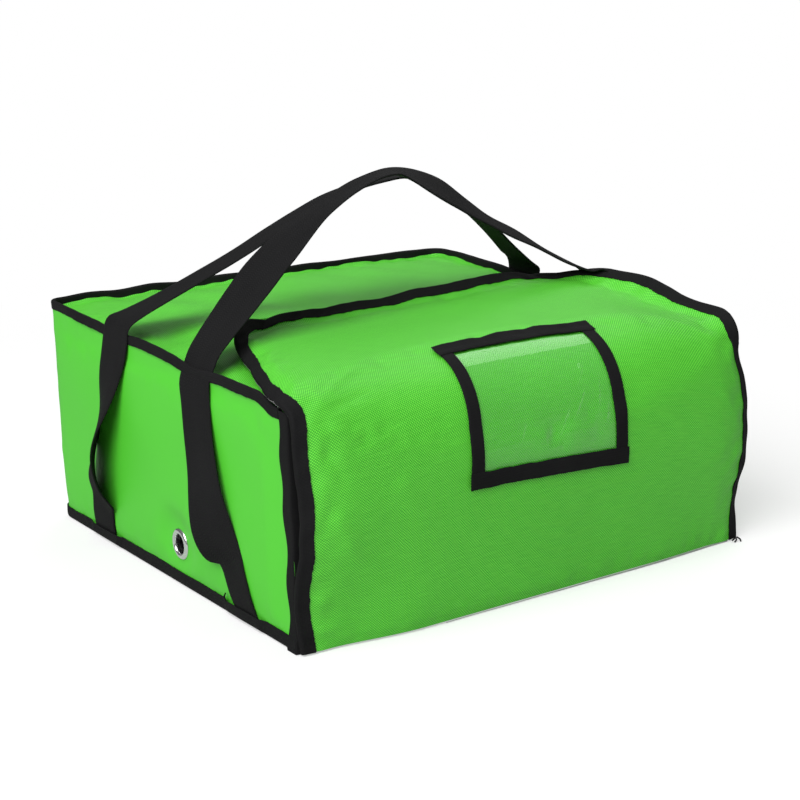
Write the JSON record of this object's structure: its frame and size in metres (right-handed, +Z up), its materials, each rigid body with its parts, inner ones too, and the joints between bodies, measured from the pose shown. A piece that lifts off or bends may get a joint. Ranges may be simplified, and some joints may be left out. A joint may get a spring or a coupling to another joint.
{
  "type": "insulated food delivery bag",
  "caption": "Square insulated food delivery bag with a wrap-over front flap, a clear ticket window, vent grommets and raised webbing handles.",
  "frame": {"origin": "middle of the base, on the underside of the bottom panel", "axes": "+X to the right along the front, -Y towards the front flap, +Z up"},
  "size_m": [0.4822, 0.4853, 0.3439],
  "materials": {
    "green_fabric": "plain-woven green polyester canvas, slightly glossy",
    "black_webbing": "ribbed black woven webbing",
    "black_tape": "black folded binding tape with a fine cross rib",
    "silver_liner": "silver coated lining cloth",
    "white_foam": "closed-cell foam sheet",
    "chrome": "nickel-plated pressed metal",
    "hook_and_loop": "black hook-and-loop tape",
    "clear_vinyl": "clear flexible vinyl sheet"
  },
  "bodies": {
    "bag_body": {"bottom_fabric": "green_fabric", "wall_fabric": "green_fabric", "top_fabric": "green_fabric", "left_foam": "white_foam", "right_foam": "white_foam", "back_foam": "white_foam", "bottom_foam": "white_foam", "top_foam": "white_foam", "wall_liner": "silver_liner", "bottom_liner": "silver_liner", "top_liner": "silver_liner", "top_binding": "black_tape", "bottom_binding": "black_tape", "mouth_left_binding": "black_tape", "mouth_right_binding": "black_tape", "mouth_top_binding": "black_tape", "left_vent_grommet": "chrome", "left_vent_washer": "chrome", "right_vent_grommet": "chrome", "right_vent_washer": "chrome", "loop_strip": "hook_and_loop", "left_front_strap": "black_webbing", "right_front_strap": "black_webbing", "left_back_strap": "black_webbing", "right_back_strap": "black_webbing"},
    "flap_front": {"front_flap_fabric": "green_fabric", "front_flap_foam": "white_foam", "front_flap_liner": "silver_liner", "front_flap_left_binding": "black_tape", "front_flap_right_binding": "black_tape", "window_pane_front": "clear_vinyl", "window_left_bar_front": "black_tape", "window_right_bar_front": "black_tape", "window_bottom_bar": "black_tape"},
    "flap_top": {"top_flap_fabric": "green_fabric", "top_flap_foam": "white_foam", "top_flap_liner": "silver_liner", "top_flap_binding": "black_tape", "hook_strip": "hook_and_loop", "window_pane_top": "clear_vinyl", "window_left_bar_top": "black_tape", "window_right_bar_top": "black_tape", "window_top_bar": "black_tape"},
    "handle_front": {"front_handle": "black_webbing"},
    "handle_back": {"back_handle": "black_webbing"}
  },
  "joints": [
    {"name": "flap_hinge", "type": "hinge", "parent": "bag_body", "child": "flap_front", "pos_m": [0, -0.2574, 0], "axis": [1, 0, 0], "range_deg": [0, 90]},
    {"name": "flap_unroll", "type": "hinge", "parent": "flap_front", "child": "flap_top", "pos_m": [0, -0.23906, 0.20396], "axis": [1, 0, 0], "range_deg": [0, 90]},
    {"name": "front_handle_swing", "type": "hinge", "parent": "bag_body", "child": "handle_front", "pos_m": [0, -0.0715, 0.22838], "axis": [1, 0, 0], "range_deg": [0, 60]},
    {"name": "back_handle_swing", "type": "hinge", "parent": "bag_body", "child": "handle_back", "pos_m": [0, 0.06685, 0.22581], "axis": [1, 0, 0], "range_deg": [-85, 0]}
  ],
  "couplings": [
    {"joint": "flap_unroll", "follows": "flap_hinge", "ratio": 1}
  ]
}
